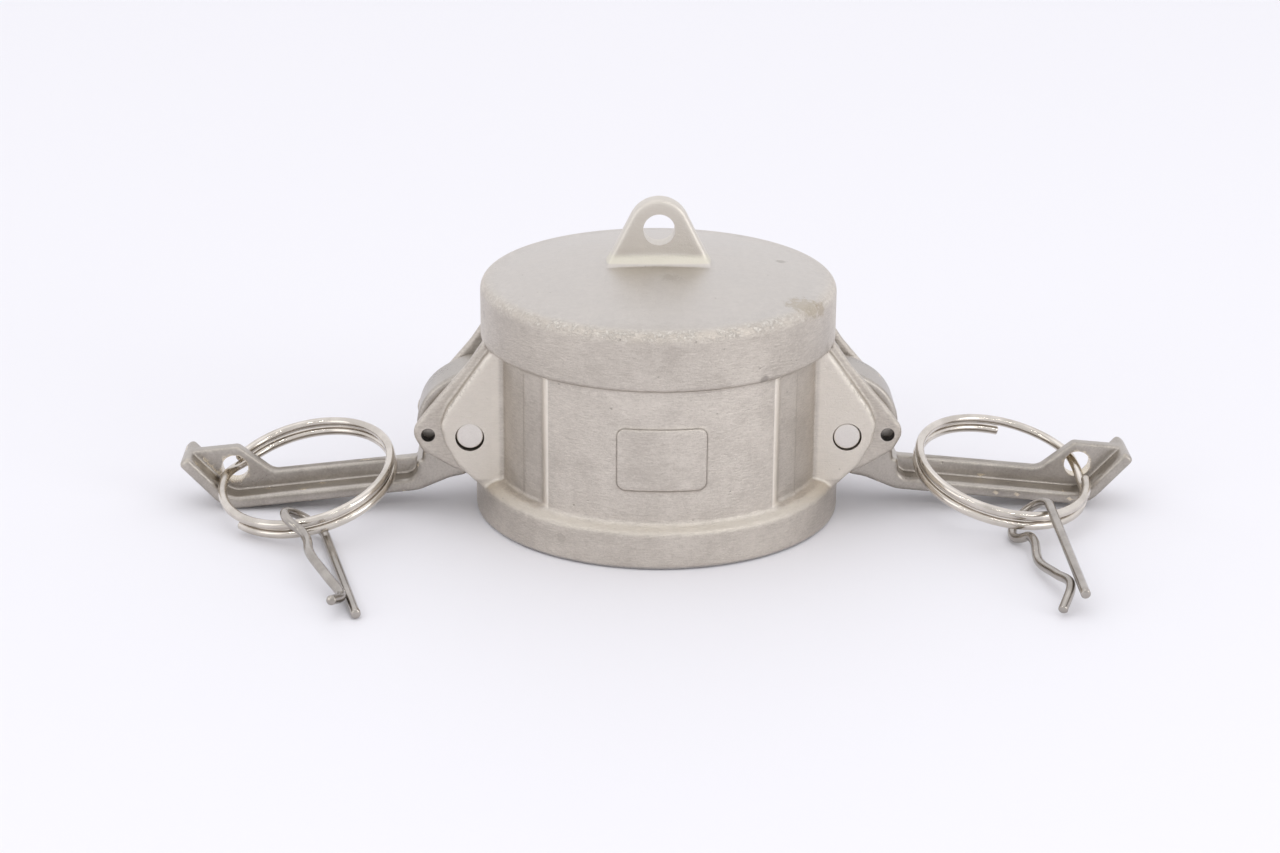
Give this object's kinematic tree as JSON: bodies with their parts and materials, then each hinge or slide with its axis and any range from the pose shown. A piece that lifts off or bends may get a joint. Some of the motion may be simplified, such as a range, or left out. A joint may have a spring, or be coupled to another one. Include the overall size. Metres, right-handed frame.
{
  "type": "camlock dust cap",
  "caption": "Cast steel cam-and-groove dust cap with two cam arms, finger rings, safety clips, a sealing gasket and a top lug.",
  "frame": {"origin": "on the table under the middle of the part's outer box; the cap's own axis stands 12.5 mm behind it", "axes": "+Z along the cap's axis to the closed end and its lug, +X to the right-hand arm, -Y to the front, where the safety clips lie"},
  "size_m": [0.2072, 0.104, 0.0694],
  "materials": {
    "cast_steel": "satin investment casting with fine pitting",
    "arm_steel": "satin casting, tumbled",
    "pin_steel": "turned end",
    "spring_steel": "drawn bright wire",
    "nitrile": "matt black nitrile"
  },
  "bodies": {
    "cap": {"cap_body": "cast_steel", "gasket": "nitrile", "pivot_pin_left": "pin_steel", "pivot_pin_right": "pin_steel"},
    "arm_left": {"cam_arm_left": "arm_steel"},
    "arm_right": {"cam_arm_right": "arm_steel"},
    "ring_left": {"finger_ring_left": "spring_steel"},
    "ring_right": {"finger_ring_right": "spring_steel"},
    "clip_left": {"safety_clip_left": "spring_steel"},
    "clip_right": {"safety_clip_right": "spring_steel"}
  },
  "joints": [
    {"name": "arm_left_pivot", "type": "hinge", "parent": "cap", "child": "arm_left", "pos_m": [-0.04046, 0.01247, 0.0195], "axis": [0, 1, 0], "range_deg": [0, 96.2]},
    {"name": "arm_right_pivot", "type": "hinge", "parent": "cap", "child": "arm_right", "pos_m": [0.04034, 0.01247, 0.0195], "axis": [0, -1, 0], "range_deg": [0, 95.4]},
    {"name": "ring_left_swing", "type": "hinge", "parent": "arm_left", "child": "ring_left", "pos_m": [-0.09224, 0.01247, 0.00814], "axis": [0, -1, 0], "range_deg": [0, 140]},
    {"name": "ring_right_swing", "type": "hinge", "parent": "arm_right", "child": "ring_right", "pos_m": [0.09227, 0.01247, 0.00887], "axis": [0, 1, 0], "range_deg": [0, 140]},
    {"name": "clip_left_swing", "type": "hinge", "parent": "ring_left", "child": "clip_left", "pos_m": [-0.07494, -0.01308, 0.00414], "axis": [-0.9805, -0.0025, -0.1965], "range_deg": [0, 120]},
    {"name": "clip_right_swing", "type": "hinge", "parent": "ring_right", "child": "clip_right", "pos_m": [0.07957, -0.01229, 0.00494], "axis": [-0.9496, -0.2917, 0.1146], "range_deg": [0, 120]}
  ]
}
